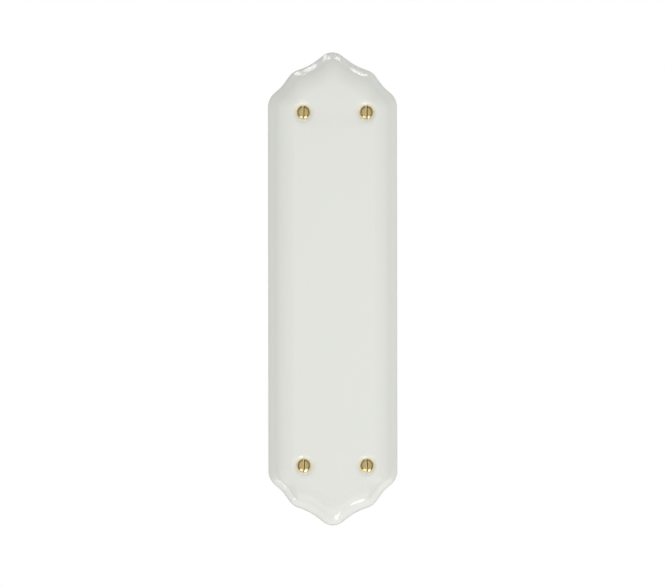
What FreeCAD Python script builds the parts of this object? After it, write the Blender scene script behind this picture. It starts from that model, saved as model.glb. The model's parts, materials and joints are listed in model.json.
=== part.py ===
import FreeCAD, Part
import math
import os

# A porcelain finger plate for a door, with the four brass screws that hold it.
# The plate stands upright: X runs across it, Z up its length, and its glazed face looks to -Y.
# The origin is in the middle of the back, on the plane that lies against the door.
# Sizes are in millimetres, and slopes in degrees.

# The plate over all
PLATE_LENGTH = 279.4
PLATE_WIDTH = 76.2
PLATE_THICKNESS = 9.0

# The scalloped end, from the side in to the tip: each run's reach across the plate, and its slope
CORNER_RUN = 8.1
CORNER_SLOPE = 41.0
STEP_RUN = 6.1
STEP_SLOPE = 54.5
SHOULDER_RUN = 10.5
SHOULDER_SLOPE = 20.5
TIP_SLOPE = 37.0

# How far the rounding of each bend of the outline reaches along the runs on either side
CORNER_ROUND = 4.9
WAIST_ROUND = 2.6
SHOULDER_ROUND = 3.1
NECK_ROUND = 4.7
TIP_ROUND = 6.7

# The moulded border, from the rim in to the flat face
SIDE_BORDER = 16.5
END_BORDER = 15.0
FACE_CORNER_DROP = 5.5
FACE_BEND_ROUND = 6.0
RIM_HEIGHT = 1.0
BACK_EDGE = 0.7
EDGE_REACH = 2.5
ROLL_SLOPE = 40.0
RIDGE_INSET = 4.75
BEVEL_SLOPE = 25.0
BREAK_REACH = 4.75

# The steps that each bend of a section is lofted in
EDGE_STEPS = 2
RIDGE_STEPS = 2
BREAK_STEPS = 3
COVE_STEPS = 2

# The hollow of the back, inside the land that meets the door
LAND_WIDTH = 7.0
HOLLOW_DEPTH = 2.8
COVE_WIDTH = 3.2
BOSS_DIAMETER = 14.0

# The four holes
HOLE_SPACING_X = 37.2
HOLE_SPACING_Z = 208.2
HOLE_SHIFT_X = 1.45
HOLE_DIAMETER = 5.0
LIP_RADIUS = 5.0
LIP_LIFT = 0.02

# The raised countersunk wood screw
SCREW_LENGTH = 25.0
HEAD_DIAMETER = 8.0
HEAD_ANGLE = 90.0
HEAD_RISE = 1.35
HEAD_EDGE = 0.15
HEAD_SINK = 1.9
SHANK_DIAMETER = 4.2
SHANK_LENGTH = 8.5
CORE_DIAMETER = 2.8
POINT_LENGTH = 4.5
SLOT_WIDTH = 1.2
SLOT_DEPTH = 1.8
SEAT_GAP = 0.05

# The turn of each slot from upright, as the screwdriver left it, by the hole's side and end
SLOT_TURNS = {(-1, 1): 1.0, (1, 1): 0.0, (-1, -1): 2.0, (1, -1): -6.0}


def tangent(degrees):
    """The rise over run of a slope in degrees."""
    return math.tan(math.radians(degrees))


def end_bends():
    """The bends of the upper right end as (x, z, rounding), from the corner up to the tip."""
    tip_radius = TIP_ROUND / tangent(TIP_SLOPE)
    tip_z = PLATE_LENGTH / 2 + tip_radius * (1 / math.cos(math.radians(TIP_SLOPE)) - 1)
    waist_x = PLATE_WIDTH / 2 - CORNER_RUN
    shoulder_x = waist_x - STEP_RUN
    neck_x = shoulder_x - SHOULDER_RUN
    neck_z = tip_z - neck_x * tangent(TIP_SLOPE)
    shoulder_z = neck_z - SHOULDER_RUN * tangent(SHOULDER_SLOPE)
    waist_z = shoulder_z - STEP_RUN * tangent(STEP_SLOPE)
    corner_z = waist_z - CORNER_RUN * tangent(CORNER_SLOPE)
    return [
        (PLATE_WIDTH / 2, corner_z, CORNER_ROUND),
        (waist_x, waist_z, WAIST_ROUND),
        (shoulder_x, shoulder_z, SHOULDER_ROUND),
        (neck_x, neck_z, NECK_ROUND),
        (0.0, tip_z, TIP_ROUND),
    ]


def end_bends_of_face():
    """The same bends where the border meets the flat face: each is moved in, square to the runs beside it."""
    slopes = [CORNER_SLOPE, STEP_SLOPE, SHOULDER_SLOPE, TIP_SLOPE, -TIP_SLOPE]
    rim = end_bends()
    corner_x, corner_z = rim[0][:2]
    face = [(corner_x - SIDE_BORDER, corner_z - FACE_CORNER_DROP, FACE_BEND_ROUND)]
    for i in range(1, len(rim)):
        x, z, rounding = rim[i]
        lean = math.radians((slopes[i - 1] + slopes[i]) / 2)
        half_turn = math.radians((slopes[i - 1] - slopes[i]) / 2)
        reach = END_BORDER / math.cos(half_turn)
        bend = rounding if half_turn < 0 else FACE_BEND_ROUND
        face.append((x - reach * math.sin(lean), z - reach * math.cos(lean), bend))
    return face


def bends_at(share):
    """The bends of the upper right end at a share of the way from the rim (0) to the face (1)."""
    pairs = zip(end_bends(), end_bends_of_face())
    return [tuple(a + (b - a) * share for a, b in zip(rim, face)) for rim, face in pairs]


def mirrored_round(quarter):
    """The whole ring of bends from those of one quarter, anticlockwise from the right corner."""
    tip = quarter[-1]
    right = quarter[:-1]
    upper = right + [tip] + [(-x, z, r) for x, z, r in reversed(right)]
    lower = [(-x, -z, r) for x, z, r in upper]
    return upper + lower


def outline_wire(share, height):
    """The plate's rounded outline at a share of the border's width, at a height above the back.

    Each bend is a conic arc that is tangent to the runs on either side.
    """
    ring = mirrored_round(bends_at(share))
    count = len(ring)
    most_of_half = 0.48
    points = [FreeCAD.Vector(x, -height, z) for x, z, rounding in ring]
    curves = []
    ends = []
    for i in range(count):
        before = points[i - 1] - points[i]
        after = points[(i + 1) % count] - points[i]
        room = most_of_half * min(before.Length, after.Length)
        reach = min(ring[i][2], room)
        start = points[i] + before.normalize() * reach
        end = points[i] + after.normalize() * reach
        conic = Part.BezierCurve()
        conic.setPoles([start, points[i], end])
        conic.setWeight(2, math.sin(before.getAngle(after) / 2))
        curves.append(conic.toShape())
        ends.append((start, end))
    edges = []
    for i in range(count):
        edges.append(curves[i])
        edges.append(Part.makeLine(ends[i][1], ends[(i + 1) % count][0]))
    return Part.Wire(edges)


def smooth_bend(start, middle, end, steps):
    """Points on the smooth bend from start to end that leans into the middle point."""
    points = []
    for step in range(steps + 1):
        t = step / steps
        shares = ((1 - t) ** 2, 2 * t * (1 - t), t ** 2)
        points.append(tuple(sum(s * v for s, v in zip(shares, values)) for values in zip(start, middle, end)))
    return points


def border_section():
    """The border's section at the side of the plate: (inset, height) points from the back to the face.

    A steep roll rises from the rim to a soft ridge, and a shallower bevel from there to the face.
    """
    roll = tangent(ROLL_SLOPE)
    bevel = tangent(BEVEL_SLOPE)
    break_x = SIDE_BORDER - BREAK_REACH
    ridge = (RIDGE_INSET, PLATE_THICKNESS - (break_x - RIDGE_INSET) * bevel)
    edge = (0.0, ridge[1] - RIDGE_INSET * roll)
    roll_start = (EDGE_REACH, edge[1] + EDGE_REACH * roll)
    bevel_end = (break_x - BREAK_REACH, PLATE_THICKNESS - BREAK_REACH * bevel)
    face = (SIDE_BORDER, PLATE_THICKNESS)
    ground_edge = [(BACK_EDGE, 0.0), (0.0, BACK_EDGE)]
    soft_edge = smooth_bend((0.0, RIM_HEIGHT), edge, roll_start, EDGE_STEPS)
    soft_ridge = smooth_bend(roll_start, ridge, bevel_end, RIDGE_STEPS)
    soft_break = smooth_bend(bevel_end, (break_x, PLATE_THICKNESS), face, BREAK_STEPS)
    return ground_edge + soft_edge + soft_ridge[1:] + soft_break[1:]


def lofted(band):
    """A solid that runs straight from each outline at a band's points to the next."""
    wires = [outline_wire(inset / SIDE_BORDER, height) for inset, height in band]
    return Part.makeLoft(wires, True, True)


def hole_places():
    """The four holes as (side, end) signs with the point on the back plane at each."""
    places = {}
    for side in (-1, 1):
        for end in (-1, 1):
            x = HOLE_SHIFT_X + side * HOLE_SPACING_X / 2
            places[side, end] = FreeCAD.Vector(x, 0, end * HOLE_SPACING_Z / 2)
    return places


def turned(profile):
    """A solid of revolution about the Y axis from a closed run of edges."""
    face = Part.Face(Part.Wire(profile))
    return face.revolve(FreeCAD.Vector(0, 0, 0), FreeCAD.Vector(0, 1, 0), 360)


def polyline(points):
    """Straight edges between (radius, y) points."""
    corners = [FreeCAD.Vector(r, y, 0) for r, y in points]
    return [Part.makeLine(a, b) for a, b in zip(corners, corners[1:])]


def head_half_slope():
    """How much the head's cone widens for each millimetre along the screw."""
    return tangent(HEAD_ANGLE / 2)


def countersink_radius():
    """The radius of the countersink at the face, before its lip is rounded."""
    gap = SEAT_GAP / math.cos(math.radians(HEAD_ANGLE / 2))
    return HEAD_DIAMETER / 2 + HEAD_SINK * head_half_slope() + gap


def hole_cutter():
    """The clearance hole with its countersink and rounded lip, on the Y axis.

    The lip is lifted a little, so that it crosses the face and doesn't only touch it.
    """
    over = 1.0
    half_angle = math.radians(HEAD_ANGLE / 2)
    face_y = -PLATE_THICKNESS
    hole_r = HOLE_DIAMETER / 2
    sink_r = countersink_radius()
    seat_y = face_y + (sink_r - hole_r) / head_half_slope()
    corner = FreeCAD.Vector(sink_r + LIP_LIFT * head_half_slope(), face_y - LIP_LIFT, 0)
    lip_reach = LIP_RADIUS * math.tan((math.pi / 2 - half_angle) / 2)
    lip_top = corner + FreeCAD.Vector(lip_reach, 0, 0)
    lip_centre = lip_top + FreeCAD.Vector(0, LIP_RADIUS, 0)
    seat_top = corner + FreeCAD.Vector(-math.sin(half_angle), math.cos(half_angle), 0) * lip_reach
    toward_middle = (seat_top + lip_top) * 0.5 - lip_centre
    lip_middle = lip_centre + toward_middle.normalize() * LIP_RADIUS
    lip = Part.Arc(seat_top, lip_middle, lip_top).toShape()
    below = polyline([(0, over), (hole_r, over), (hole_r, seat_y), (seat_top.x, seat_top.y)])
    above = polyline([(lip_top.x, lip_top.y), (lip_top.x, face_y - over), (0, face_y - over), (0, over)])
    return turned(below + [lip] + above)


def finger_plate():
    """The moulded plate: border and face in one loft, less the hollow round its bosses and the holes."""
    body = lofted(border_section())
    floor = (LAND_WIDTH + COVE_WIDTH, HOLLOW_DEPTH)
    cove = smooth_bend((LAND_WIDTH, 0.0), (LAND_WIDTH, HOLLOW_DEPTH), floor, COVE_STEPS)
    hollow = lofted(cove)
    places = hole_places()
    toward_face = FreeCAD.Vector(0, -1, 0)
    bosses = [Part.makeCylinder(BOSS_DIAMETER / 2, HOLLOW_DEPTH, p, toward_face) for p in places.values()]
    body = body.cut(hollow.cut(bosses))
    cutter = hole_cutter()
    return body.cut([cutter.translated(p) for p in places.values()])


def screw():
    """One screw on the Y axis, its head's edge on the plane y = 0 and its point towards +Y, slot upright."""
    head_r = HEAD_DIAMETER / 2
    shank_r = SHANK_DIAMETER / 2
    core_r = CORE_DIAMETER / 2
    neck_y = (head_r - shank_r) / head_half_slope()
    point_y = SCREW_LENGTH - POINT_LENGTH
    dome_radius = (head_r ** 2 + HEAD_RISE ** 2) / (2 * HEAD_RISE)
    dome_top = FreeCAD.Vector(0, -HEAD_EDGE - HEAD_RISE, 0)
    dome_centre = dome_top + FreeCAD.Vector(0, dome_radius, 0)
    half_angle = math.asin(head_r / dome_radius) / 2
    dome_mid = dome_centre + FreeCAD.Vector(math.sin(half_angle), -math.cos(half_angle), 0) * dome_radius
    dome_rim = FreeCAD.Vector(head_r, -HEAD_EDGE, 0)
    dome = Part.Arc(dome_top, dome_mid, dome_rim).toShape()
    flanks = [
        (head_r, -HEAD_EDGE),
        (head_r, 0),
        (shank_r, neck_y),
        (shank_r, SHANK_LENGTH),
        (core_r, SHANK_LENGTH),
        (core_r, point_y),
        (0, SCREW_LENGTH),
        (0, dome_top.y),
    ]
    body = turned([dome] + polyline(flanks))
    over = 1.0
    corner = FreeCAD.Vector(-SLOT_WIDTH / 2, dome_top.y - over, -head_r - over)
    slot = Part.makeBox(SLOT_WIDTH, SLOT_DEPTH + over, 2 * (head_r + over), corner)
    return body.cut(slot)


def fixing_screws():
    """The four screws in their holes, as separate solids."""
    one = screw()
    sunk = FreeCAD.Vector(0, HEAD_SINK - PLATE_THICKNESS, 0)
    placed = []
    for key, place in hole_places().items():
        copy = one.copy()
        copy.rotate(FreeCAD.Vector(0, 0, 0), FreeCAD.Vector(0, 1, 0), SLOT_TURNS[key])
        copy.translate(place + sunk)
        placed.append(copy)
    return Part.makeCompound(placed)


os.makedirs("parts", exist_ok=True)
finger_plate().exportStep("parts/finger_plate.step")
fixing_screws().exportStep("parts/fixing_screws.step")
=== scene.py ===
# %% [markdown]
# # A porcelain finger plate and its brass screws
#
# A finger plate is screwed to a door beside the handle, so that hands touch porcelain and not paint.
# This one is a single moulding: a flat face, a bevelled border that follows scalloped ends, and a
# hollow back. Four raised-head brass screws sit in countersinks. This lesson builds the finer meshes,
# the finishes, the light and the camera round a CAD model that already has the right size and place.

# %% Load the CAD model as the frame
import json
import math

import bmesh
import bpy
from mathutils import Matrix, Vector


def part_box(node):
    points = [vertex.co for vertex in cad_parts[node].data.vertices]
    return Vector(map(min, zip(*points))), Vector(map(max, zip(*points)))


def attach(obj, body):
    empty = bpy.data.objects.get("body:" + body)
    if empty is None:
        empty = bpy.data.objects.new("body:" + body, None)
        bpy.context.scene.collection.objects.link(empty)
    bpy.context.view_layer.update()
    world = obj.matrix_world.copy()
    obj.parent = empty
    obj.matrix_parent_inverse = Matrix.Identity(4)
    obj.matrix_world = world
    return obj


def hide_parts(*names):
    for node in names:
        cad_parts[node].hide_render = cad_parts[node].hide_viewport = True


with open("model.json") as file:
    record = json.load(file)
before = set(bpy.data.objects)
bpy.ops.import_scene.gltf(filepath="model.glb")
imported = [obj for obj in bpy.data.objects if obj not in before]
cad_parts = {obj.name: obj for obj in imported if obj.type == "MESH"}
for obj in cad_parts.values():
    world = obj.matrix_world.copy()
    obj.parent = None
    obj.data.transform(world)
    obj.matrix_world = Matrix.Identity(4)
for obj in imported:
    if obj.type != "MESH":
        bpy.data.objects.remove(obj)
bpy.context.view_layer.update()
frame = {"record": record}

# %% [markdown]
# ## Sizes
#
# Everything that the CAD model can tell is read from it: the plate's overall size, and the places of
# the screws. What it can't tell in one number, such as the slopes of the scallops, is repeated here
# in millimetres.

# %% Read the plate's size and the screws' places
MM = 0.001

plate_low, plate_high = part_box("finger_plate")
plate_width = (plate_high.x - plate_low.x) / MM
plate_length = (plate_high.z - plate_low.z) / MM
plate_thickness = (plate_high.y - plate_low.y) / MM

mounts = {mount["name"]: mount for mount in frame["record"]["mounts"]}
pattern = mounts["screw_pattern"]
pattern_x = pattern["pos_m"][0] / MM
half_x = pattern["dims"]["spacing_x_mm"] / 2
half_z = pattern["dims"]["spacing_y_mm"] / 2
hole_places = {
    "top_left": (pattern_x - half_x, half_z),
    "top_right": (pattern_x + half_x, half_z),
    "bottom_left": (pattern_x - half_x, -half_z),
    "bottom_right": (pattern_x + half_x, -half_z),
}
print("plate in mm:", round(plate_width, 2), round(plate_thickness, 2), round(plate_length, 2))
print("screw places in mm:", hole_places)

# %% [markdown]
# ## The outline
#
# A scalloped outline could be traced as a long list of points, but then nobody could change it. Here
# each end is four straight runs with a slope each, and every bend between two runs is a conic arc
# that is tangent to both. Moving the bends inwards gives the outline of the flat face, and anything
# between the two is a share of the way.

# %% Lay out the bends of one quarter of the outline
# Each run's reach across the plate, and its slope in degrees
RUNS = {"corner": (8.1, 41.0), "step": (6.1, 54.5), "shoulder": (10.5, 20.5)}
TIP_SLOPE = math.radians(37.0)
BEND_ROUNDS = {"corner": 4.9, "waist": 2.6, "shoulder": 3.1, "neck": 4.7, "tip": 6.7}
SIDE_BORDER = 16.5
END_BORDER = 15.0
FACE_CORNER_DROP = 5.5
FACE_BEND_ROUND = 6.0


def rim_bends():
    """The bends of the upper right quarter at the rim as (x, z, rounding), from the corner to the tip."""
    tip_radius = BEND_ROUNDS["tip"] / math.tan(TIP_SLOPE)
    z = plate_length / 2 + tip_radius * (1 / math.cos(TIP_SLOPE) - 1)
    bends = [(0.0, z, BEND_ROUNDS["tip"])]
    x = plate_width / 2 - sum(reach for reach, slope in RUNS.values())
    z -= x * math.tan(TIP_SLOPE)
    bends.append((x, z, BEND_ROUNDS["neck"]))
    for run, bend in (("shoulder", "shoulder"), ("step", "waist"), ("corner", "corner")):
        reach, slope = RUNS[run]
        x += reach
        z -= reach * math.tan(math.radians(slope))
        bends.append((x, z, BEND_ROUNDS[bend]))
    return bends[::-1]


def face_bends():
    """The same bends where the border ends and the flat face begins."""
    slopes = [math.radians(slope) for reach, slope in RUNS.values()] + [TIP_SLOPE, -TIP_SLOPE]
    rim = rim_bends()
    bends = [(rim[0][0] - SIDE_BORDER, rim[0][1] - FACE_CORNER_DROP, FACE_BEND_ROUND)]
    for (x, z, rounding), before, after in zip(rim[1:], slopes, slopes[1:]):
        lean = (before + after) / 2
        half_turn = (before - after) / 2
        reach = END_BORDER / math.cos(half_turn)
        # A bend that turns inwards keeps its rounding
        kept = rounding if half_turn < 0 else FACE_BEND_ROUND
        bends.append((x - reach * math.sin(lean), z - reach * math.cos(lean), kept))
    return bends


def all_bends(share):
    """The whole ring of bends at a share of the way from the rim (0) to the face (1), anticlockwise."""
    pairs = zip(rim_bends(), face_bends())
    quarter = [tuple(a + (b - a) * share for a, b in zip(rim, face)) for rim, face in pairs]
    upper = quarter + [(-x, z, rounding) for x, z, rounding in reversed(quarter[:-1])]
    return upper + [(-x, -z, rounding) for x, z, rounding in upper]


print("bends round the outline:", len(all_bends(0)))

# %% [markdown]
# ## Sampling the outline
#
# The border is skinned between rings of points, one ring above another. Two rings can only be joined
# quad by quad if they have the same number of points in the same order, so every bend and every run
# gets a fixed count.

# %% Turn the bends into rings of points
BEND_STEPS = 12
SHORT_RUN_STEPS = 4
LONG_RUN_STEPS = 40
# A run that climbs more than this is a side of the plate
LONG_RUN = 100.0
# No bend takes up more than this share of the runs next to it
MOST_OF_HALF = 0.48


def conic_arc(start, corner, end, steps):
    """Points of the arc that leaves start and reaches end along the lines to the corner."""
    half = (start - corner).angle(end - corner) / 2
    weight = math.sin(half)
    points = []
    for step in range(steps + 1):
        t = step / steps
        a, b, c = (1 - t) ** 2, 2 * weight * t * (1 - t), t ** 2
        points.append((start * a + corner * b + end * c) / (a + b + c))
    return points


def ring_points(inset, height):
    """The outline at an inset from the rim (measured at the side), at a height above the back, in mm."""
    bends = all_bends(inset / SIDE_BORDER)
    corners = [Vector((x, -height, z)) for x, z, rounding in bends]
    arcs = []
    for i, corner in enumerate(corners):
        before = corners[i - 1] - corner
        after = corners[(i + 1) % len(corners)] - corner
        reach = min(bends[i][2], MOST_OF_HALF * min(before.length, after.length))
        start = corner + before.normalized() * reach
        end = corner + after.normalized() * reach
        arcs.append(conic_arc(start, corner, end, BEND_STEPS))
    points = []
    for i, arc in enumerate(arcs):
        points += arc
        run_end = arcs[(i + 1) % len(arcs)][0]
        steps = LONG_RUN_STEPS if abs(run_end.z - arc[-1].z) > LONG_RUN else SHORT_RUN_STEPS
        points += [arc[-1].lerp(run_end, step / steps) for step in range(1, steps)]
    return points


print("points in a ring:", len(ring_points(0, 0)))

# %% [markdown]
# ## The border's section
#
# Seen in section, the border rises from a ground back edge up a short upright rim, then up a steep
# roll to a soft ridge, and from there up a shallower bevel that flattens into the face. Glaze is a
# thick liquid when it is fired, so no edge of it is sharp: each change of slope is a curve through
# several rings.

# %% Lay out the section from the back edge to the face
RIM_HEIGHT = 1.0
BACK_EDGE = 0.7
EDGE_REACH = 2.5
ROLL_SLOPE = math.tan(math.radians(40.0))
RIDGE_INSET = 4.75
BEVEL_SLOPE = math.tan(math.radians(25.0))
BREAK_REACH = 4.75
LAND_WIDTH = 7.0
HOLLOW_DEPTH = 2.8
COVE_WIDTH = 3.2
SECTION_STEPS = {"ground": 4, "edge": 8, "ridge": 10, "break": 16, "cove": 8}


def soft_bend(start, middle, end, steps):
    """Points from start to end on a curve that leans into the middle point."""
    shares = [((1 - t) ** 2, 2 * t * (1 - t), t ** 2) for t in (s / steps for s in range(steps + 1))]
    return [tuple(a * p + b * q + c * r for p, q, r in zip(start, middle, end)) for a, b, c in shares]


def front_section():
    """(inset, height) of each ring from the back plane over the rim to the flat face."""
    break_x = SIDE_BORDER - BREAK_REACH
    ridge = (RIDGE_INSET, plate_thickness - (break_x - RIDGE_INSET) * BEVEL_SLOPE)
    edge = (0.0, ridge[1] - RIDGE_INSET * ROLL_SLOPE)
    roll_start = (EDGE_REACH, edge[1] + EDGE_REACH * ROLL_SLOPE)
    bevel_end = (break_x - BREAK_REACH, plate_thickness - BREAK_REACH * BEVEL_SLOPE)
    face_start = (SIDE_BORDER, plate_thickness)
    ground = soft_bend((BACK_EDGE, 0.0), (0.0, 0.0), (0.0, BACK_EDGE), SECTION_STEPS["ground"])
    soft_edge = soft_bend((0.0, RIM_HEIGHT), edge, roll_start, SECTION_STEPS["edge"])
    soft_ridge = soft_bend(roll_start, ridge, bevel_end, SECTION_STEPS["ridge"])
    soft_break = soft_bend(bevel_end, (break_x, plate_thickness), face_start, SECTION_STEPS["break"])
    return ground + soft_edge + soft_ridge[1:] + soft_break[1:]


def back_section():
    """(inset, height) of each ring from the land's inner edge into the hollow of the back."""
    floor = (LAND_WIDTH + COVE_WIDTH, HOLLOW_DEPTH)
    return soft_bend((LAND_WIDTH, 0.0), (LAND_WIDTH, HOLLOW_DEPTH), floor, SECTION_STEPS["cove"])


print("rings in front:", len(front_section()), "and behind:", len(back_section()))

# %% [markdown]
# ## Tools for closed skins
#
# One bmesh holds the whole moulding as a closed skin. The border and the hollow of the back are quads
# between rings, and the flat areas are filled between the loops that bound them. These helpers do
# both, and turn a finished bmesh into an object whose soft bends are shaded smooth while its true
# edges stay crisp.

# %% Helpers that skin rings and fill flats
HOLE_POINTS = 72
# The plate's two material slots
GLAZED = 0
GROUND = 1


def add_ring(mesh, points):
    """New vertices of a bmesh at points in mm."""
    return [mesh.verts.new(point * MM) for point in points]


def skin(mesh, outer, inner, material=GLAZED):
    """Quads between two rings that have the same number of points."""
    count = len(outer)
    for i in range(count):
        j = (i + 1) % count
        face = mesh.faces.new((outer[i], outer[j], inner[j], inner[i]))
        face.material_index = material


def fill_flat(mesh, rings):
    """Triangles over the flat area between closed rings, the first round the others."""
    edges = []
    for ring in rings:
        for a, b in zip(ring, ring[1:] + ring[:1]):
            edges.append(mesh.edges.get((a, b)) or mesh.edges.new((a, b)))
    bmesh.ops.triangle_fill(mesh, use_beauty=True, edges=edges)


def circle(x, z, radius, height, count=HOLE_POINTS):
    """Points of a circle that faces the front, in the unit of its radius."""
    turns = [2 * math.pi * i / count for i in range(count)]
    return [Vector((x + radius * math.cos(t), -height, z + radius * math.sin(t))) for t in turns]


def add_object(name, data):
    """An object with this data, linked to the scene."""
    added = bpy.data.objects.new(name, data)
    bpy.context.scene.collection.objects.link(added)
    return added


def finish_mesh(mesh, name, sharp_angle):
    """A mesh object from a bmesh, with outward normals and smooth shading up to a sharp angle."""
    bmesh.ops.recalc_face_normals(mesh, faces=mesh.faces)
    data = bpy.data.meshes.new(name)
    mesh.to_mesh(data)
    mesh.free()
    data.shade_smooth()
    data.set_sharp_from_angle(angle=math.radians(sharp_angle))
    return add_object(name, data)


print("points round a hole:", HOLE_POINTS)

# %% [markdown]
# ## The moulding
#
# Such a plate is pressed in a mould, and its back is hollowed so that it dries evenly and lies flat on
# a land round its edge. A round boss is left behind each hole, so that a screw pulls on solid
# porcelain. The land and the bosses are ground bare, so their faces get a material of their own.

# %% Build the moulding with its bosses
BOSS_DIAMETER = 14.0
BOSS_FOOT = 0.6
SHARP_ANGLE = 40.0


def build_moulding():
    """The plate before its holes are pressed, as an object."""
    mesh = bmesh.new()
    front = [add_ring(mesh, ring_points(*step)) for step in front_section()]
    for lower, upper in zip(front, front[1:]):
        skin(mesh, lower, upper)
    behind = [add_ring(mesh, ring_points(*step)) for step in back_section()]
    skin(mesh, behind[0], front[0], material=GROUND)
    for lower, upper in zip(behind, behind[1:]):
        skin(mesh, upper, lower)
    feet = []
    for x, z in hole_places.values():
        top = add_ring(mesh, circle(x, z, BOSS_DIAMETER / 2, 0.0))
        side = add_ring(mesh, circle(x, z, BOSS_DIAMETER / 2, HOLLOW_DEPTH - BOSS_FOOT))
        foot = add_ring(mesh, circle(x, z, BOSS_DIAMETER / 2 + BOSS_FOOT, HOLLOW_DEPTH))
        mesh.faces.new(top).material_index = GROUND
        skin(mesh, top, side)
        skin(mesh, side, foot)
        feet.append(foot)
    fill_flat(mesh, [front[-1]])
    fill_flat(mesh, [behind[-1]] + feet)
    return finish_mesh(mesh, "moulding", SHARP_ANGLE)


moulding = build_moulding()
print("faces of the moulding:", len(moulding.data.polygons))

# %% [markdown]
# ## The countersinks
#
# A screw hole in porcelain is pressed before firing: a cone for the head, a clearance hole below it,
# and a broad lip that the glaze rounds over. The lips are so broad that they run into the border,
# where the face is no longer flat, so a hole can't be one of the loops that bound the face. Instead a
# cutter, a stack of circles with the hole's section, is taken out of the moulding with a boolean.

# %% Build the cutter of the holes
HEAD_DIAMETER = 8.0
HEAD_SINK = 1.9
SEAT_GAP = 0.05
SEAT_ANGLE = 45.0
HOLE_DIAMETER = 5.0
LIP_RADIUS = 5.0
LIP_STEPS = 10
# The lip starts this far above the face, so that it crosses the face and doesn't only touch it
LIP_LIFT = 0.02
# How far a cutter reaches past what it cuts
OVER = 1.0


def hole_section():
    """(radius, height) down a hole, from above the face over the soft lip to behind the back."""
    # At 45 degrees the cone widens by as much as it is deep
    sink = HEAD_DIAMETER / 2 + HEAD_SINK + SEAT_GAP * math.sqrt(2)
    reach = LIP_RADIUS * math.tan(math.radians(SEAT_ANGLE / 2))
    lip_top = plate_thickness + LIP_LIFT
    section = [(sink + reach, plate_thickness + OVER)]
    for step in range(LIP_STEPS + 1):
        turn = math.radians(SEAT_ANGLE * step / LIP_STEPS)
        radius = sink + reach - LIP_RADIUS * math.sin(turn)
        section.append((radius, lip_top - LIP_RADIUS * (1 - math.cos(turn))))
    section.append((HOLE_DIAMETER / 2, plate_thickness - (sink - HOLE_DIAMETER / 2)))
    section.append((HOLE_DIAMETER / 2, -OVER))
    return section


def build_hole_cutter():
    """The four holes as solid plugs, in one object."""
    mesh = bmesh.new()
    for x, z in hole_places.values():
        rings = [add_ring(mesh, circle(x, z, *step)) for step in hole_section()]
        for upper, lower in zip(rings, rings[1:]):
            skin(mesh, upper, lower)
        mesh.faces.new(rings[0])
        mesh.faces.new(rings[-1])
    return finish_mesh(mesh, "hole_cutter", SHARP_ANGLE)


hole_cutter = build_hole_cutter()
print("circles down a hole:", len(hole_section()))

# %% [markdown]
# Glaze runs into the countersinks and stands thicker there, and round the holes its colour is painted
# brighter and creamier: a painted light on the lips and a painted warm reflection of the brass heads. A
# float attribute says how much, from the distance to the nearest hole, and the glaze's material reads it.
# It is kept on the mesh's points, which are dense round the holes, so no texture is needed.

# %% Cut the holes and mark where the glaze pools and is painted lighter
def carved(blank, cutter, sharp_angle):
    """The blank's mesh with the cutter's shape taken away. Both spare objects are removed."""
    boolean = blank.modifiers.new("carve", "BOOLEAN")
    boolean.operation = "DIFFERENCE"
    boolean.solver = "EXACT"
    boolean.object = cutter
    view = bpy.context.evaluated_depsgraph_get()
    data = bpy.data.meshes.new_from_object(blank.evaluated_get(view))
    for spare in (cutter, blank):
        bpy.data.objects.remove(spare)
    data.set_sharp_from_angle(angle=math.radians(sharp_angle))
    return data


def clamped(value):
    """A value kept between 0 and 1."""
    return max(0.0, min(1.0, value))


def mark_glaze_pools_painted_light(data):
    """An attribute that grows from 0 at the outer edge of a lip to 1 at the edge of a head."""
    outer = hole_section()[0][0]
    inner = HEAD_DIAMETER / 2
    # The same attribute places the painted light round each hole in the glaze's colour
    pool_painted_light = data.attributes.new("glaze_pool_painted_light", "FLOAT", "POINT")
    for vertex in data.vertices:
        x = vertex.co.x / MM
        z = vertex.co.z / MM
        radius = min(math.hypot(x - hole_x, z - hole_z) for hole_x, hole_z in hole_places.values())
        pool_painted_light.data[vertex.index].value = clamped((outer - radius) / (outer - inner)) ** 2


plate_data = carved(moulding, hole_cutter, SHARP_ANGLE)
plate_data.name = "porcelain_plate"
mark_glaze_pools_painted_light(plate_data)
plate = add_object("porcelain_plate", plate_data)
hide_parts("finger_plate")
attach(plate, "root")
print("plate faces:", len(plate.data.polygons))

# %% [markdown]
# ## The screws
#
# A wood screw is turned from brass bar: a domed head, a cone under it, a plain shank, then a thread
# that runs out into a gimlet point. The head and the shank are round, so a list of radii along the
# axis is enough for them.

# %% Lay out the head and the shank along the screw's own Y axis
HEAD_RISE = 1.35
HEAD_EDGE = 0.15
HEAD_STEPS = 14
NECK_ROUND = 0.3
SHANK_RADIUS = 2.1
SHANK_LENGTH = 8.5
# The last ring of the plain shank stands this far before the thread
SHANK_MARGIN = 0.5


def head_profile():
    """(radius, y) of the head and shank; y = 0 is the head's widest edge and +Y runs to the point."""
    edge = HEAD_DIAMETER / 2
    dome = (edge ** 2 + HEAD_RISE ** 2) / (2 * HEAD_RISE)
    widest = math.asin(edge / dome)
    profile = []
    for step in range(1, HEAD_STEPS + 1):
        turn = widest * step / HEAD_STEPS
        profile.append((dome * math.sin(turn), -HEAD_EDGE - HEAD_RISE + dome * (1 - math.cos(turn))))
    profile.append((edge, 0.0))
    profile.append((SHANK_RADIUS + NECK_ROUND, edge - SHANK_RADIUS - NECK_ROUND))
    profile.append((SHANK_RADIUS, edge - SHANK_RADIUS + NECK_ROUND))
    profile.append((SHANK_RADIUS, SHANK_LENGTH - SHANK_MARGIN))
    return profile


print("rings of the head and shank:", len(head_profile()))

# %% [markdown]
# The thread could be a triangle swept along a helix, but joining that to the core leaves a seam that
# is hard to keep closed. Here the radius of each ring also follows the angle, which winds the ridge
# round the core in one skin, and lets it fade in from the shank and out towards the point.

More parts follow.
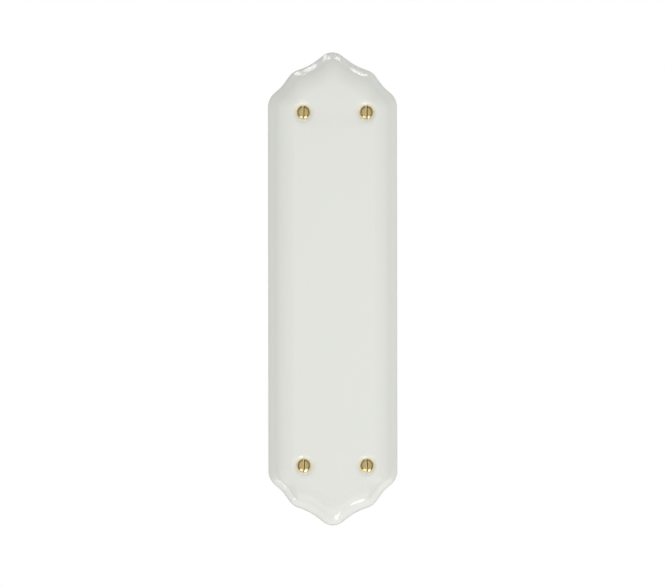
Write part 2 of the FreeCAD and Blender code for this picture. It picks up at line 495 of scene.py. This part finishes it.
# %% Wind the thread
CORE_RADIUS = 1.4
SCREW_LENGTH = 25.0
POINT_LENGTH = 4.5
THREAD_PITCH = 1.8
# The thread grows out of the shank over this share of a pitch
THREAD_RUN_IN = 0.6
# Half the ridge's width as a share of the pitch, and the power that makes its flanks a little full
RIDGE_HALF_WIDTH = 0.28
RIDGE_POWER = 0.8
# The share of the ridge's height that is left at the point, and the length over which that fades
POINT_CREST = 0.25
CREST_FADE = 1.2


def thread_radius(y, turn):
    """The radius of the threaded part at a distance along it and an angle round it."""
    to_point = SCREW_LENGTH - y
    taper = min(1.0, to_point / POINT_LENGTH)
    core = CORE_RADIUS * taper
    run_in = clamped((y - SHANK_LENGTH) / (THREAD_RUN_IN * THREAD_PITCH))
    # The angle runs from X to Z, which is backwards round Y, so adding it makes a right-handed thread
    phase = (y / THREAD_PITCH + turn / (2 * math.pi)) % 1.0
    ridge = max(0.0, 1.0 - abs(phase - 0.5) / RIDGE_HALF_WIDTH)
    height = (SHANK_RADIUS - CORE_RADIUS) * (POINT_CREST + (1 - POINT_CREST) * taper)
    crest = height * min(1.0, to_point / CREST_FADE)
    threaded = core + crest * ridge ** RIDGE_POWER
    return SHANK_RADIUS + (threaded - SHANK_RADIUS) * run_in


print("turns of the thread:", round((SCREW_LENGTH - SHANK_LENGTH) / THREAD_PITCH, 1))

# %% [markdown]
# The screw's blank is skinned from these rings, with a fan of triangles at either end. The slot is
# sawn last, as on the real screw: a block is taken out of the head with a boolean.

# %% Build the blank and saw its slot
SCREW_POINTS = 64
ROWS_PER_TURN = 18
SLOT_WIDTH = 1.2
SLOT_DEPTH = 1.8
SCREW_SHARP_ANGLE = 30.0

screw_turns = [2 * math.pi * i / SCREW_POINTS for i in range(SCREW_POINTS)]


def screw_rows():
    """(y, radius at each angle) of every ring, from the dome to the point."""
    rows = [(y, [radius] * SCREW_POINTS) for radius, y in head_profile()]
    step = THREAD_PITCH / ROWS_PER_TURN
    for i in range(int((SCREW_LENGTH - SHANK_LENGTH) / step)):
        y = SHANK_LENGTH + i * step
        rows.append((y, [thread_radius(y, turn) for turn in screw_turns]))
    return rows


def build_screw_blank():
    """A screw before its slot is sawn, as an object."""
    mesh = bmesh.new()
    rings = []
    for y, radii in screw_rows():
        points = [Vector((r * math.cos(t), y, r * math.sin(t))) for r, t in zip(radii, screw_turns)]
        rings.append(add_ring(mesh, points))
    for upper, lower in zip(rings, rings[1:]):
        skin(mesh, upper, lower)
    top = mesh.verts.new(Vector((0, -HEAD_EDGE - HEAD_RISE, 0)) * MM)
    tip = mesh.verts.new(Vector((0, SCREW_LENGTH, 0)) * MM)
    for end, ring in ((top, rings[0]), (tip, rings[-1])):
        for a, b in zip(ring, ring[1:] + ring[:1]):
            mesh.faces.new((end, a, b))
    return finish_mesh(mesh, "screw_blank", SCREW_SHARP_ANGLE)


def build_slot_cutter():
    """A block as wide as the screwdriver slot, reaching past the head on both sides."""
    mesh = bmesh.new()
    bmesh.ops.create_cube(mesh, size=1.0)
    size = Vector((SLOT_WIDTH, SLOT_DEPTH + OVER, HEAD_DIAMETER + 2 * OVER)) * MM
    middle = Vector((0, -HEAD_EDGE - HEAD_RISE + (SLOT_DEPTH - OVER) / 2, 0)) * MM
    place = Matrix.Translation(middle) @ Matrix.Diagonal((*size, 1.0))
    bmesh.ops.transform(mesh, matrix=place, verts=mesh.verts)
    return finish_mesh(mesh, "slot_cutter", SCREW_SHARP_ANGLE)


screw_data = carved(build_screw_blank(), build_slot_cutter(), SCREW_SHARP_ANGLE)
print("faces of one screw:", len(screw_data.polygons))

# %% [markdown]
# The four screws share one mesh. Each was driven home by hand, so each slot stopped at its own angle.

# %% Drive the screws into their holes
SLOT_TURNS = {"top_left": 1.0, "top_right": 0.0, "bottom_left": 2.0, "bottom_right": -6.0}

screws = []
for name, (x, z) in hole_places.items():
    screw = add_object("screw_" + name, screw_data)
    screw.location = Vector((x, HEAD_SINK - plate_thickness, z)) * MM
    screw.rotation_euler = (0.0, math.radians(SLOT_TURNS[name]), 0.0)
    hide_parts("fixing_screws")
    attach(screw, "root")
    screws.append(screw)
print("screws:", [screw.name for screw in screws])

# %% [markdown]
# ## A shared effect: soft mottle
#
# No fired or polished surface is quite even. One node group makes a soft cloudy mask of a given size,
# and every material places it with its own values: broad and faint in the glaze, coarse stains and
# fine grit in the bare clay, small dull patches on the brass.

# %% Build the mottle group
MOTTLE_DETAIL = 4.0
MOTTLE_ROUGHNESS = 0.55
MOTTLE_MIDDLE = 0.5


def build_mottle():
    """The node group: noise, stretched about its middle by a contrast."""
    group = bpy.data.node_groups.new("soft_mottle", "ShaderNodeTree")
    group.interface.new_socket(name="Vector", in_out="INPUT", socket_type="NodeSocketVector")
    group.interface.new_socket(name="Patches per metre", in_out="INPUT", socket_type="NodeSocketFloat")
    group.interface.new_socket(name="Contrast", in_out="INPUT", socket_type="NodeSocketFloat")
    group.interface.new_socket(name="Mask", in_out="OUTPUT", socket_type="NodeSocketFloat")
    nodes = group.nodes
    links = group.links
    inlet = nodes.new("NodeGroupInput")
    outlet = nodes.new("NodeGroupOutput")
    noise = nodes.new("ShaderNodeTexNoise")
    noise.inputs["Detail"].default_value = MOTTLE_DETAIL
    noise.inputs["Roughness"].default_value = MOTTLE_ROUGHNESS
    links.new(inlet.outputs["Vector"], noise.inputs["Vector"])
    links.new(inlet.outputs["Patches per metre"], noise.inputs["Scale"])
    centred = nodes.new("ShaderNodeMath")
    centred.operation = "SUBTRACT"
    centred.inputs[1].default_value = MOTTLE_MIDDLE
    links.new(noise.outputs["Fac"], centred.inputs[0])
    spread = nodes.new("ShaderNodeMath")
    spread.operation = "MULTIPLY_ADD"
    spread.use_clamp = True
    spread.inputs[2].default_value = MOTTLE_MIDDLE
    links.new(centred.outputs[0], spread.inputs[0])
    links.new(inlet.outputs["Contrast"], spread.inputs[1])
    links.new(spread.outputs[0], outlet.inputs["Mask"])
    return group


mottle_group = build_mottle()
print("shared group:", mottle_group.name)

# %% [markdown]
# ## Small tools for the finishes
#
# Glaze, clay and brass each mix colours with a mask, stretch a mask into a roughness and turn a mask or
# a wave into a bump. Each of these takes only a node or two, so a small function places it, and a
# material then reads as a list of decisions.

# %% Helpers for the materials
# The Mix node has sockets of one name for each kind of value, so those for colours go by number
MIX_FIRST = 6
MIX_SECOND = 7
MIX_RESULT = 2


def new_material(name):
    """A material with its Principled shader, and its nodes and links at hand."""
    material = bpy.data.materials.new(name)
    material.use_nodes = True
    nodes = material.node_tree.nodes
    return material, nodes, material.node_tree.links, nodes["Principled BSDF"]


def object_place(nodes):
    """The place on the object in metres."""
    return nodes.new("ShaderNodeTexCoord").outputs["Object"]


def mottle(nodes, links, vector, patches, contrast):
    """The shared mottle, placed in a material with its own values."""
    node = nodes.new("ShaderNodeGroup")
    node.node_tree = mottle_group
    node.inputs["Patches per metre"].default_value = patches
    node.inputs["Contrast"].default_value = contrast
    links.new(vector, node.inputs["Vector"])
    return node.outputs["Mask"]


def mix_colours(nodes, links, mask, first, second):
    """A colour that goes from first to second with a mask. Each end is a colour or a node's output."""
    node = nodes.new("ShaderNodeMix")
    node.data_type = "RGBA"
    links.new(mask, node.inputs["Factor"])
    for socket, value in ((node.inputs[MIX_FIRST], first), (node.inputs[MIX_SECOND], second)):
        if isinstance(value, bpy.types.NodeSocket):
            links.new(value, socket)
        else:
            socket.default_value = (*value, 1.0)
    return node.outputs[MIX_RESULT]


def mapped(nodes, links, value, low, high):
    """A value stretched from 0..1 to low..high."""
    node = nodes.new("ShaderNodeMapRange")
    node.inputs["To Min"].default_value = low
    node.inputs["To Max"].default_value = high
    links.new(value, node.inputs["Value"])
    return node.outputs["Result"]


def bump(nodes, links, height, strength, distance, shader):
    """A bump from a height, linked to the shader's normal."""
    node = nodes.new("ShaderNodeBump")
    node.inputs["Strength"].default_value = strength
    node.inputs["Distance"].default_value = distance
    links.new(height, node.inputs["Height"])
    links.new(node.outputs["Normal"], shader.inputs["Normal"])


print("helpers:", mottle.__name__, mix_colours.__name__, mapped.__name__, bump.__name__)

# %% [markdown]
# ## Porcelain glaze
#
# The white is the fired body under a clear glossy glaze, very slightly green-grey. The glaze lies a
# little uneven, so reflections wander. Where it pools in the countersinks its colour is painted brighter
# and creamier, as a painted light and a painted warm reflection of the brass. A Principled shader with low
# roughness does this. Colour carries the mottle and the painted light round the holes, and a faint bump
# carries the ripple.

# %% Make the glaze
GLAZE_WHITE = (0.735, 0.745, 0.700)
GLAZE_THICK = (0.725, 0.735, 0.688)
# Brighter and creamier than the glaze: painted light on the lips and a painted warm reflection of the
# brass
GLAZE_POOLED_PAINTED_LIGHT = (0.850, 0.815, 0.690)
GLAZE_IOR = 1.5


def make_glaze():
    """The glossy white of the plate."""
    material, nodes, links, shader = new_material("porcelain_glaze")
    place = object_place(nodes)
    clouds = mottle(nodes, links, place, patches=28.0, contrast=2.2)
    pool_painted_light = nodes.new("ShaderNodeAttribute")
    pool_painted_light.attribute_name = "glaze_pool_painted_light"
    body = mix_colours(nodes, links, clouds, GLAZE_WHITE, GLAZE_THICK)
    # Round the holes the colour is painted brighter and creamier: painted light and a painted reflection
    # of the brass
    colour = mix_colours(nodes, links, pool_painted_light.outputs["Fac"], body, GLAZE_POOLED_PAINTED_LIGHT)
    links.new(colour, shader.inputs["Base Color"])
    ripple = mottle(nodes, links, place, patches=90.0, contrast=1.0)
    links.new(mapped(nodes, links, clouds, low=0.10, high=0.15), shader.inputs["Roughness"])
    bump(nodes, links, ripple, strength=0.03, distance=0.4 * MM, shader=shader)
    shader.inputs["IOR"].default_value = GLAZE_IOR
    return material


glaze = make_glaze()
print("glaze:", glaze.name)

# %% [markdown]
# ## Bare clay
#
# The land on the back, and the bosses, stood on the kiln shelf and were ground flat, so they have no
# glaze. Bare porcelain is matt, a little warmer, and finely gritty. The mottle makes both its stains
# and, much finer, its grit.

# %% Make the ground clay
CLAY_PALE = (0.70, 0.67, 0.60)
CLAY_DARK = (0.58, 0.55, 0.48)


def make_clay():
    """The bare ground porcelain of the land and the bosses."""
    material, nodes, links, shader = new_material("ground_clay")
    place = object_place(nodes)
    stains = mottle(nodes, links, place, patches=60.0, contrast=1.6)
    grit = mottle(nodes, links, place, patches=2600.0, contrast=2.5)
    links.new(mix_colours(nodes, links, stains, CLAY_PALE, CLAY_DARK), shader.inputs["Base Color"])
    links.new(mapped(nodes, links, grit, low=0.75, high=0.95), shader.inputs["Roughness"])
    bump(nodes, links, grit, strength=0.5, distance=0.08 * MM, shader=shader)
    return material


clay = make_clay()
plate.data.materials.append(glaze)
plate.data.materials.append(clay)
print("plate materials:", [material.name for material in plate.data.materials])

# %% [markdown]
# ## Polished brass
#
# The heads are polished brass with the fine rings that turning leaves. In the slot the left of the floor
# is a painted light and the right a painted shadow of its right wall. Masks made from the place on the
# screw tell the slot from the rest, and its two sides apart.

# %% Tell the slot and its two sides apart
# The slot's mask reaches this far past its walls and floor
SLOT_MARGIN = 0.01
# Where the slot's painted light starts and stops changing to its painted shadow, as shares of its width
SLOT_LIGHT_TO_SHADOW_CHANGE = (0.02, 0.15)


def math_node(nodes, links, operation, first, second=None):
    """The result of a Math node. Each end is a number or another node's output."""
    node = nodes.new("ShaderNodeMath")
    node.operation = operation
    for socket, value in zip(node.inputs, (first, second)):
        if isinstance(value, bpy.types.NodeSocket):
            links.new(value, socket)
        elif value is not None:
            socket.default_value = value
    return node.outputs[0]


def slot_mask(nodes, links, x, y):
    """1 in the slot and 0 on the rest of the screw."""
    floor_y = SLOT_DEPTH - HEAD_EDGE - HEAD_RISE
    across = math_node(nodes, links, "ABSOLUTE", x)
    in_width = math_node(nodes, links, "LESS_THAN", across, (SLOT_WIDTH / 2 + SLOT_MARGIN) * MM)
    in_head = math_node(nodes, links, "LESS_THAN", y, (floor_y + SLOT_MARGIN) * MM)
    return math_node(nodes, links, "MULTIPLY", in_width, in_head)


def slot_painted_light_and_shadow(nodes, links, x):
    """0 on the slot's left, painted light, and 1 on its right, painted shadow, with a soft change near the
    middle.
    """
    node = nodes.new("ShaderNodeMapRange")
    node.interpolation_type = "SMOOTHSTEP"
    for socket, share in zip(("From Min", "From Max"), SLOT_LIGHT_TO_SHADOW_CHANGE):
        node.inputs[socket].default_value = share * SLOT_WIDTH * MM
    links.new(x, node.inputs["Value"])
    return node.outputs["Result"]


print("slot in mm:", SLOT_WIDTH, "wide and", SLOT_DEPTH, "deep")

# %% [markdown]
# The turned rings are a sine of the distance from the screw's own axis, used as a very shallow bump.
# Rings in the mesh would need far more faces, and would be too fine to see as shapes.

# %% Make the brass
BRASS_BRIGHT = (0.93, 0.75, 0.38)
BRASS_DULL = (0.84, 0.65, 0.30)
# Painted shadow on the slot's right side and painted light on its left
SLOT_PAINTED_SHADOW = (0.07, 0.035, 0.008)
SLOT_PAINTED_LIGHT = (1.0, 0.82, 0.44)
SLOT_ROUGHNESS = 0.1
TURNING_PITCH = 0.12


def turned_rings(nodes, links, x, z):
    """A wave that goes out from the screw's axis, once for each cut of the turning tool."""
    x_squared = math_node(nodes, links, "MULTIPLY", x, x)
    z_squared = math_node(nodes, links, "MULTIPLY", z, z)
    radius = math_node(nodes, links, "SQRT", math_node(nodes, links, "ADD", x_squared, z_squared))
    cuts = math_node(nodes, links, "MULTIPLY", radius, 2 * math.pi / (TURNING_PITCH * MM))
    return math_node(nodes, links, "SINE", cuts)


def make_brass():
    """The polished brass of the screws, with painted light and shadow in the slot."""
    material, nodes, links, shader = new_material("screw_brass")
    place = object_place(nodes)
    split = nodes.new("ShaderNodeSeparateXYZ")
    links.new(place, split.inputs[0])
    x, y, z = (split.outputs[axis] for axis in "XYZ")
    in_slot = slot_mask(nodes, links, x, y)
    dull = mottle(nodes, links, place, patches=900.0, contrast=2.0)
    finish = mix_colours(nodes, links, dull, BRASS_BRIGHT, BRASS_DULL)
    # The slot's colour is painted light on its left and painted shadow on its right
    slot_painted_light_and_shadow_colour = mix_colours(nodes, links, slot_painted_light_and_shadow(nodes, links, x), SLOT_PAINTED_LIGHT, SLOT_PAINTED_SHADOW)
    colour = mix_colours(nodes, links, in_slot, finish, slot_painted_light_and_shadow_colour)
    links.new(colour, shader.inputs["Base Color"])
    polish = mapped(nodes, links, dull, low=0.06, high=0.12)
    slot_rough = math_node(nodes, links, "MULTIPLY", in_slot, SLOT_ROUGHNESS)
    links.new(math_node(nodes, links, "ADD", polish, slot_rough), shader.inputs["Roughness"])
    rings = turned_rings(nodes, links, x, z)
    bump(nodes, links, rings, strength=0.06, distance=0.02 * MM, shader=shader)
    shader.inputs["Metallic"].default_value = 1.0
    return material


brass = make_brass()
screw_data.materials.clear()
screw_data.materials.append(brass)
print("screw material:", screw_data.materials[0].name)

# %% [markdown]
# ## Stage and light
#
# The plate is shown upright, as it hangs on a door, before plain white. The photograph shows no floor,
# so a round pale table stands well below the plate and a little behind it, where it keeps out of the
# picture and out of the way of the light from below.

# %% Lay the table
TABLE_Z = -0.55
TABLE_CENTRE_Y = 0.34
TABLE_RADIUS = 0.32
TABLE_POINTS = 96
TABLE_PALE = (0.86, 0.86, 0.86)
TABLE_GREY = (0.84, 0.84, 0.84)
TABLE_ROUGHNESS = 0.9


def make_table():
    """A round matt table top."""
    mesh = bmesh.new()
    centre = Matrix.Translation((0.0, TABLE_CENTRE_Y, TABLE_Z))
    bmesh.ops.create_circle(mesh, cap_ends=True, segments=TABLE_POINTS, radius=TABLE_RADIUS, matrix=centre)
    table = finish_mesh(mesh, "table", SHARP_ANGLE)
    material, nodes, links, shader = new_material("pale_table")
    clouds = mottle(nodes, links, object_place(nodes), patches=3.0, contrast=1.0)
    links.new(mix_colours(nodes, links, clouds, TABLE_PALE, TABLE_GREY), shader.inputs["Base Color"])
    shader.inputs["Roughness"].default_value = TABLE_ROUGHNESS
    table.data.materials.append(material)
    return table


table = make_table()
print("table at z =", TABLE_Z)

# %% [markdown]
# The world is plain white to the camera and in reflections, which makes the white ground of the
# picture. To matt surfaces it is a weaker, even fill, which keeps the slopes that face away from the
# lamps from going dark.

# %% Light the world
WORLD_FILL = 0.46
WORLD_WHITE = 1.0


def make_world():
    """A white world that lights matt surfaces with a weaker fill."""
    world = bpy.data.worlds.new("white_studio")
    world.use_nodes = True
    nodes = world.node_tree.nodes
    links = world.node_tree.links
    nodes.clear()
    rays = nodes.new("ShaderNodeLightPath").outputs
    reflected = math_node(nodes, links, "MAXIMUM", rays["Is Glossy Ray"], rays["Is Transmission Ray"])
    seen = math_node(nodes, links, "MAXIMUM", rays["Is Camera Ray"], reflected)
    choose = nodes.new("ShaderNodeMixShader")
    links.new(seen, choose.inputs[0])
    for socket, strength in ((choose.inputs[1], WORLD_FILL), (choose.inputs[2], WORLD_WHITE)):
        background = nodes.new("ShaderNodeBackground")
        background.inputs["Color"].default_value = (1.0, 1.0, 1.0, 1.0)
        background.inputs["Strength"].default_value = strength
        links.new(background.outputs[0], socket)
    output = nodes.new("ShaderNodeOutputWorld")
    links.new(choose.outputs[0], output.inputs["Surface"])
    return world


bpy.context.scene.world = make_world()
print("world fill:", WORLD_FILL)

# %% [markdown]
# Polished brass shows whatever stands opposite it. In a white room it would look like pale paper, so a
# grey dome stands behind the camera, light in its middle and dark towards its edge. Only reflections
# see it. Its brightness is an attribute of its points, which an Emission shader reads.

# %% Stand a grey dome opposite the plate
DOME_RADIUS = 3.6
DOME_REACH = 76.0
DOME_STEPS = 28
DOME_BRIGHT = 0.56
DOME_DARK = 0.12
# The angles off the axis, in degrees, between which the dome gets darker
DOME_FADE = (40.0, 64.0)


def dome_level(off_axis):
    """The dome's brightness at an angle off the plate's axis."""
    start, end = DOME_FADE
    fade = clamped((off_axis - start) / (end - start))
    return DOME_BRIGHT + (DOME_DARK - DOME_BRIGHT) * fade


def build_dome():
    """The dome's mesh as an object, in metres."""
    mesh = bmesh.new()
    level = mesh.verts.layers.float.new("level")
    rings = []
    for step in range(1, DOME_STEPS + 1):
        off_axis = DOME_REACH * step / DOME_STEPS
        turn = math.radians(off_axis)
        points = circle(0, 0, DOME_RADIUS * math.sin(turn), DOME_RADIUS * math.cos(turn))
        ring = [mesh.verts.new(point) for point in points]
        for vertex in ring:
            vertex[level] = dome_level(off_axis)
        rings.append(ring)
    for outer, inner in zip(rings, rings[1:]):
        skin(mesh, outer, inner)
    mesh.faces.new(rings[0])
    return finish_mesh(mesh, "grey_dome", SHARP_ANGLE)


def make_dome_glow():
    """A material that glows as the dome's attribute says."""
    material = bpy.data.materials.new("grey_dome")
    material.use_nodes = True
    nodes = material.node_tree.nodes
    links = material.node_tree.links
    nodes.clear()
    shade = nodes.new("ShaderNodeAttribute")
    shade.attribute_name = "level"
    glow = nodes.new("ShaderNodeEmission")
    links.new(shade.outputs["Fac"], glow.inputs["Strength"])
    output = nodes.new("ShaderNodeOutputMaterial")
    links.new(glow.outputs[0], output.inputs["Surface"])
    return material


dome = build_dome()
dome.data.materials.append(make_dome_glow())
dome.visible_camera = False
dome.visible_diffuse = False
dome.visible_transmission = False
dome.visible_shadow = False
print("dome reaches", DOME_REACH, "degrees off the axis")

# %% [markdown]
# The light is a set of soft panels. Each is given by what it looks like from the plate: the direction
# it stands in, the angle it fills and how bright its surface is. Matt light and shine do different
# jobs, so each has panels of its own. Those for matt light are hidden from reflections: a broad wall
# and a nearer key in front, a fill from below that brightens every slope that faces down, a weak key
# at the right, and two behind for the back.
#
# Those for shine are seen in reflections alone: a strip and a floor of light below, which lie as
# crescents in the screw heads, and small bright ones that put a highlight on each bend of the rim
# where the photograph has one.

# %% Hang the panels
def panel(name, bearing, elevation, spread, rise, brightness, distance):
    """An area lamp that fills the given angles as seen from the plate, with a surface brightness."""
    lamp = bpy.data.lights.new(name, "AREA")
    lamp.shape = "RECTANGLE"
    lamp.size = 2 * distance * math.tan(math.radians(spread / 2))
    lamp.size_y = 2 * distance * math.tan(math.radians(rise / 2))
    lamp.energy = brightness * math.pi * lamp.size * lamp.size_y
    side = math.radians(bearing)
    up = math.radians(elevation)
    toward = Vector((math.sin(side) * math.cos(up), -math.cos(side) * math.cos(up), math.sin(up)))
    box = add_object(name, lamp)
    box.location = toward * distance
    box.rotation_euler = (-toward).to_track_quat("-Z", "Y").to_euler()
    box.visible_camera = False
    return box


# Each panel's bearing, elevation, spread and rise in degrees, its brightness, and its distance in metres
matt_lamps = [
    panel("front_panel", 0.0, -2.0, 120.0, 64.0, 0.49, 3.0),
    panel("front_key", 6.0, -2.0, 30.0, 30.0, 3.4, 0.7),
    panel("low_fill", 10.0, -75.0, 60.0, 10.0, 3.1, 1.6),
    panel("right_key", 70.0, -10.0, 30.0, 40.0, 0.15, 1.6),
    panel("back_panel", 180.0, 0.0, 90.0, 60.0, 0.35, 3.0),
    panel("back_key", 140.0, 35.0, 30.0, 30.0, 2.0, 2.0),
]
shine_lamps = [
    panel("low_strip", 0.0, -55.0, 110.0, 28.0, 1.1, 2.9),
    panel("low_rim", 0.0, -84.0, 110.0, 30.0, 1.5, 2.9),
    panel("left_streak", -91.0, 64.0, 16.0, 12.0, 6.0, 3.0),
    panel("left_apex", -44.0, 71.0, 11.0, 8.0, 6.0, 3.0),
    panel("right_streak", 66.0, 65.0, 11.0, 8.0, 6.0, 3.0),
    panel("right_apex", 47.0, 70.0, 11.0, 8.0, 6.0, 3.0),
    panel("low_streak", 39.0, -56.0, 9.0, 6.0, 8.0, 2.8),
    panel("low_apex", 30.0, -65.0, 13.0, 10.0, 8.0, 2.8),
    panel("low_corner", -75.0, -47.0, 4.0, 4.0, 9.0, 2.8),
]
for lamp in matt_lamps:
    lamp.visible_glossy = False
for lamp in shine_lamps:
    lamp.visible_diffuse = False
print("lamps:", [lamp.name for lamp in matt_lamps + shine_lamps])

# %% [markdown]
# ## Camera
#
# The photograph looks straight at the plate, so the camera stands in front at some distance with a
# long lens. Its lens is worked out from the scale of the photograph, and its place from where the
# plate sits in the frame. The plate in the photograph leans by a small part of a degree, so the
# camera is rolled by as much.

# %% Set the camera
IMAGE_WIDTH = 665
IMAGE_HEIGHT = 587
PIXELS_PER_METRE = 1692.5
PLATE_CENTRE_PIXEL = (332.7, 288.9)
CAMERA_ROLL = 0.07
CAMERA_DISTANCE = 2.4
SENSOR_WIDTH = 36.0

camera_data = bpy.data.cameras.new("camera")
camera_data.sensor_width = SENSOR_WIDTH
camera_data.lens = SENSOR_WIDTH * CAMERA_DISTANCE * PIXELS_PER_METRE / IMAGE_WIDTH
camera = add_object("camera", camera_data)
camera.location = (
    (IMAGE_WIDTH / 2 - PLATE_CENTRE_PIXEL[0]) / PIXELS_PER_METRE,
    -CAMERA_DISTANCE,
    -(IMAGE_HEIGHT / 2 - PLATE_CENTRE_PIXEL[1]) / PIXELS_PER_METRE,
)
camera.rotation_euler = (math.pi / 2, math.radians(CAMERA_ROLL), 0.0)
bpy.context.scene.camera = camera
bpy.context.scene.view_settings.view_transform = "Standard"
print("lens in mm:", round(camera_data.lens, 1))
